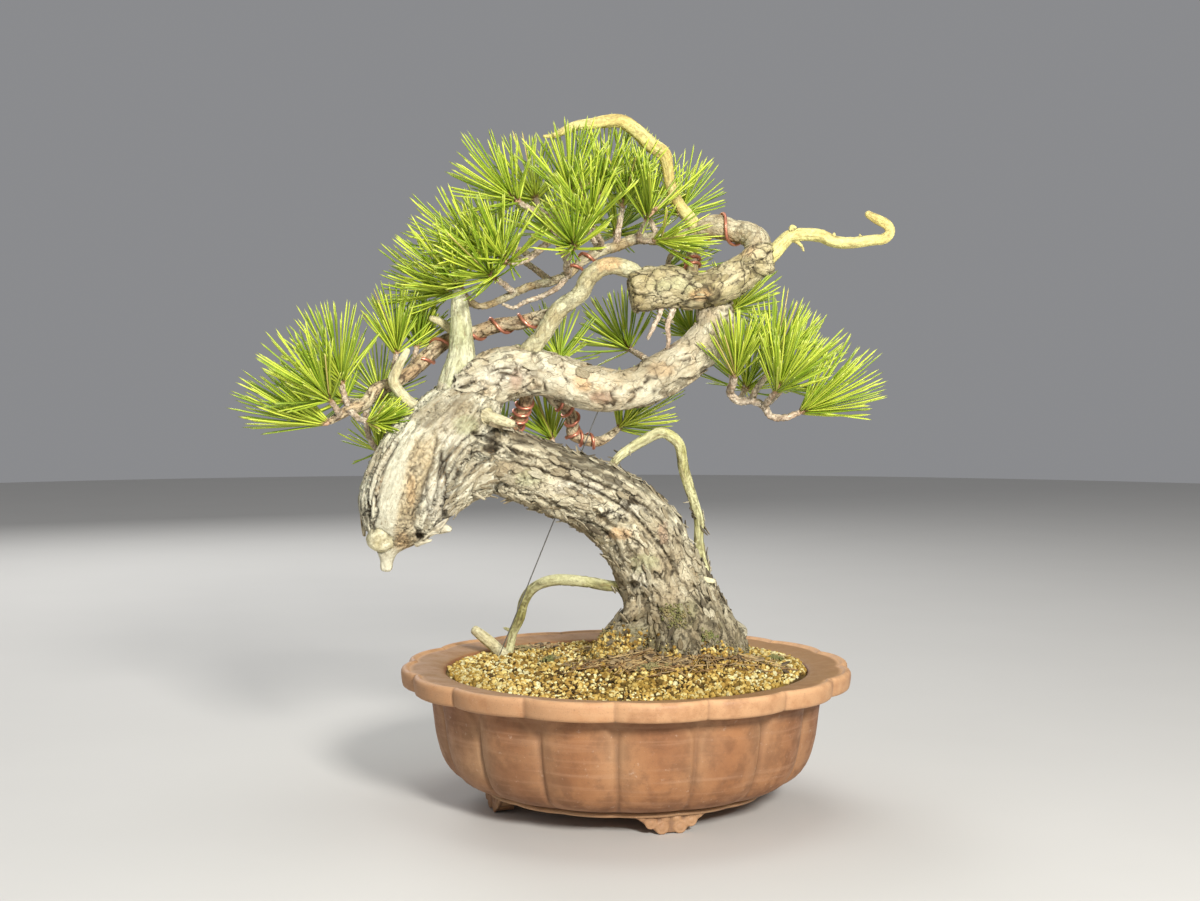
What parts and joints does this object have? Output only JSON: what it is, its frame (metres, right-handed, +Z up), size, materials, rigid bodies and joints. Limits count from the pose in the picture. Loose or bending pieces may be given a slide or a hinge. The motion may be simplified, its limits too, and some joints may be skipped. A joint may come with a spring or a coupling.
{
  "type": "japanese red pine bonsai",
  "caption": "Wind-swept bonsai pine with a leaning trunk, hanging dead-wood head, bare jins, wired limbs and fan-shaped needle sprays, in a round lobed clay pot on bracket feet.",
  "frame": {"origin": "middle of the whole object's box, on the surface that the pot's feet stand on", "axes": "+Z up, -Y towards the tree's front, +X to the right as the front is seen"},
  "size_m": [0.5268, 0.3598, 0.552],
  "materials": {
    "bark": "matte",
    "needle": "satin",
    "clay": "matte",
    "soil": "matte",
    "copper_wire": "satin",
    "guy_wire": "satin",
    "drain_mesh": "matte"
  },
  "bodies": {
    "root": {"drain_screen": "drain_mesh", "guy_wire": "guy_wire", "needles_back_centre": "needle", "needles_back_left": "needle", "needles_back_low_left": "needle", "needles_back_low_right": "needle", "needles_back_right": "needle", "needles_back_trunk": "needle", "needles_back_upper": "needle", "needles_brow": "needle", "needles_crest": "needle", "needles_crown": "needle", "needles_crown_back": "needle", "needles_crown_left": "needle", "needles_crown_right": "needle", "needles_curve_back": "needle", "needles_ear": "needle", "needles_front_low": "needle", "needles_left_back": "needle", "needles_left_front": "needle", "needles_left_low": "needle", "needles_left_mid": "needle", "needles_left_tier": "needle", "needles_middle": "needle", "needles_middle_back": "needle", "needles_nape": "needle", "needles_nape_back": "needle", "needles_pad_back": "needle", "needles_pad_front": "needle", "needles_pad_heel": "needle", "needles_pad_inner": "needle", "needles_pad_low": "needle", "needles_pad_root": "needle", "needles_pad_tip": "needle", "needles_pad_top": "needle", "needles_pad_under": "needle", "needles_right_back": "needle", "needles_right_back_pad": "needle", "needles_right_front": "needle", "needles_right_heel": "needle", "needles_right_inner": "needle", "needles_right_tip": "needle", "needles_right_top": "needle", "needles_under_curve": "needle", "pot": "clay", "soil": "soil", "wire_canopy": "copper_wire", "wire_curved_limb": "copper_wire", "wire_left_limb": "copper_wire", "wire_limb_a": "copper_wire", "wire_limb_b": "copper_wire", "wire_upright": "copper_wire", "wood": "bark"}
  },
  "joints": []
}
